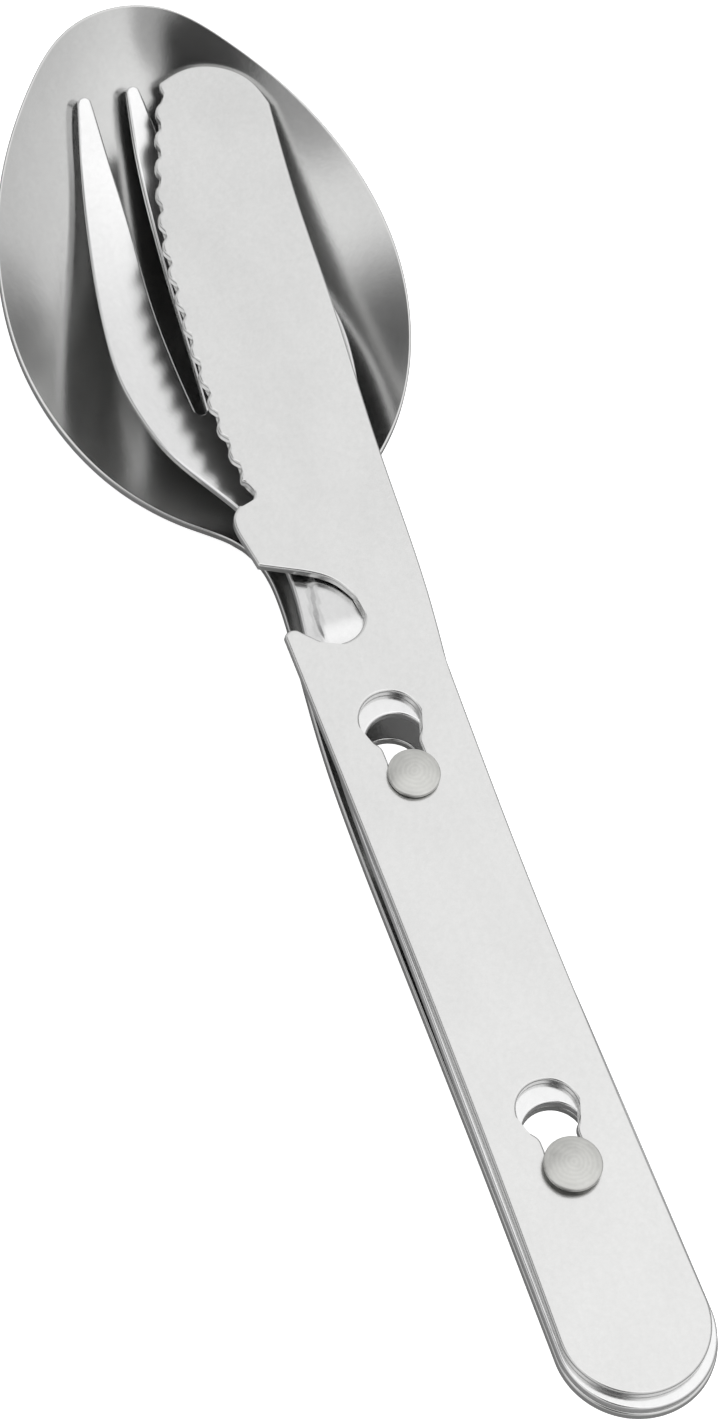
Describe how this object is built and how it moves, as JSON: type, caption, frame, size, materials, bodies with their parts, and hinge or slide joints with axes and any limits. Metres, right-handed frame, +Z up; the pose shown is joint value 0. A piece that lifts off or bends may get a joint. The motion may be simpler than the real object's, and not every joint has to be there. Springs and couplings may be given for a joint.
{
  "type": "nesting picnic cutlery",
  "caption": "Flat serrated knife with a bottle-opener hook, fork and spoon of pressed steel sheet, nested on two mushroom-head studs through keyholes and slid apart for use",
  "frame": {"origin": "middle of the set's length and width, level with the lowest point of the spoon's bowl", "axes": "+X runs from the bowl to the handle end, +Y to the knife's back, +Z up, square to the flat handles"},
  "size_m": [0.178, 0.0456, 0.0166],
  "materials": {
    "sheet_steel": "fine satin polish on stainless sheet",
    "spoon_steel": "bright polish on stainless sheet, fine grain",
    "stud_steel": "turned and tumbled stainless, slightly dull"
  },
  "bodies": {
    "spoon": {"spoon": "spoon_steel", "front_stud": "stud_steel", "rear_stud": "stud_steel"},
    "fork": {"fork": "sheet_steel"},
    "knife": {"knife": "sheet_steel"}
  },
  "joints": [
    {"name": "knife_slide", "type": "slide", "parent": "spoon", "child": "knife", "axis": [1, 0, 0], "range_m": [0, 0.0071]},
    {"name": "fork_slide", "type": "slide", "parent": "spoon", "child": "fork", "axis": [1, 0, 0], "range_m": [0, 0.0048]}
  ]
}
